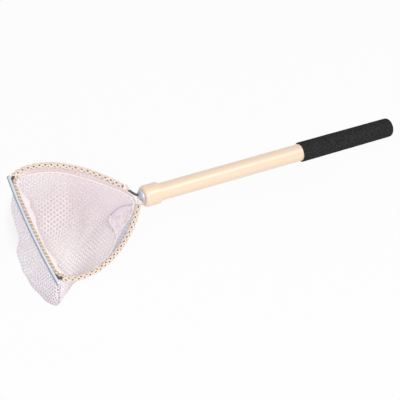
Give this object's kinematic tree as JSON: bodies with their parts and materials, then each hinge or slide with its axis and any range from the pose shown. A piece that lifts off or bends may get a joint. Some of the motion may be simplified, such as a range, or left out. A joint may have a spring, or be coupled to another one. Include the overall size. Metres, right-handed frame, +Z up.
{
  "type": "bait net",
  "caption": "Hand-held bait net: a lashed wire hoop with a straight steel front guard and a hanging netting bag, on a wooden handle with a foam grip.",
  "frame": {"origin": "on the handle's axis in the middle of the foam grip, where a hand holds it", "axes": "+X along the handle to its butt, so the hoop is at -X; +Z up, with the bag hanging down; the hoop is rolled about X with its -Y side lower"},
  "size_m": [0.6034, 0.1602, 0.1595],
  "materials": {
    "wood": "clear varnish",
    "cap_metal": "pressed, satin",
    "foam": "closed-cell foam, matt",
    "wire": "drawn, dull",
    "guard_steel": "zinc plated",
    "twine": "twisted, waxed",
    "hem": "woven band",
    "thread": "twisted",
    "netting": "knotless mesh"
  },
  "bodies": {
    "root": {"handle_dowel": "wood", "head_collar": "wood", "front_cap": "cap_metal", "foam_grip": "foam", "hoop_wire": "wire", "front_guard": "guard_steel", "far_lashing": "twine", "near_lashing": "twine", "far_knot": "twine", "near_knot": "twine", "front_head_cord": "twine", "net_hem": "hem", "hem_thread": "thread", "net_bag": "netting"}
  },
  "joints": []
}
